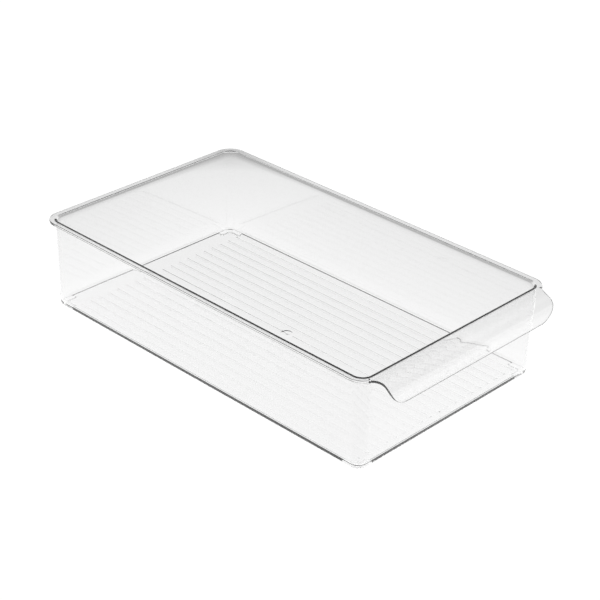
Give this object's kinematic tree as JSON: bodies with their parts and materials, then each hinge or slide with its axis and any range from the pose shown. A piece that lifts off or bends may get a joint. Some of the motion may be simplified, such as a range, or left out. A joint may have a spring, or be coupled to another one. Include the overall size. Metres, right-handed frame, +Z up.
{
  "type": "fridge bin",
  "caption": "Shallow clear plastic fridge bin with an outward rim, a curled pull lip along the front, a ribbed floor and low corner feet.",
  "frame": {"origin": "middle of the bounding box in plan, on the plane that the four corner feet stand on", "axes": "+Z up, +Y towards the back, so the pull lip is at -Y; +X to the right of a person who faces the pull lip"},
  "size_m": [0.2154, 0.3758, 0.0807],
  "materials": {
    "clear_plastic": "clear, glossy"
  },
  "bodies": {
    "root": {"bin": "clear_plastic"}
  },
  "joints": []
}
